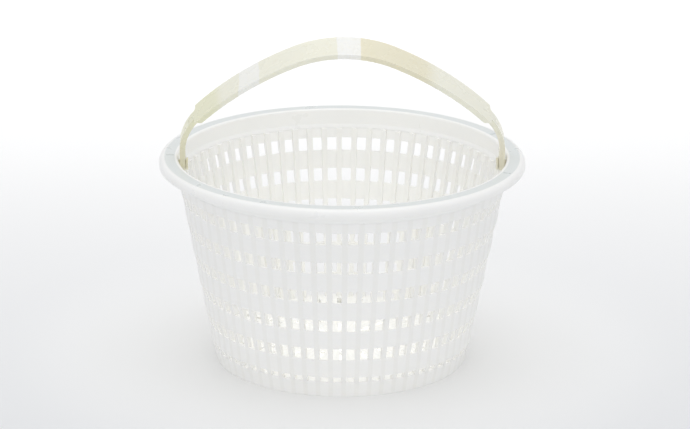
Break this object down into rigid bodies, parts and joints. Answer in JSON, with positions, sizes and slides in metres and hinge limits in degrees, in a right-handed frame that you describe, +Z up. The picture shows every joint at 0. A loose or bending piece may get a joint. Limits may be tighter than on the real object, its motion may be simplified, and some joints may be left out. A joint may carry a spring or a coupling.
{
  "type": "cheese mold",
  "caption": "Round tapered basket with rows of drain slots, a flat flanged rim with a rounded lip and a hinged strap bail.",
  "frame": {"origin": "centre of the basket's base, on the surface that it stands on", "axes": "+Z up along the basket's axis, X along the bail's hinge, and the bail leans towards -Y at rest"},
  "size_m": [0.216, 0.216, 0.2021],
  "materials": {
    "white_plastic": "translucent white polypropylene, satin",
    "cream_plastic": "aged cream plastic, semi-gloss"
  },
  "bodies": {
    "basket": {"rim_flange": "white_plastic", "slotted_wall": "white_plastic", "base_floor": "white_plastic", "bail_pin_right": "cream_plastic", "bail_pin_left": "cream_plastic"},
    "bail": {"bail_strap": "cream_plastic"}
  },
  "joints": [
    {"name": "bail_hinge", "type": "hinge", "parent": "basket", "child": "bail", "pos_m": [0, 0, 0.1186], "axis": [1, 0, 0], "range_deg": [-105, 62]}
  ]
}
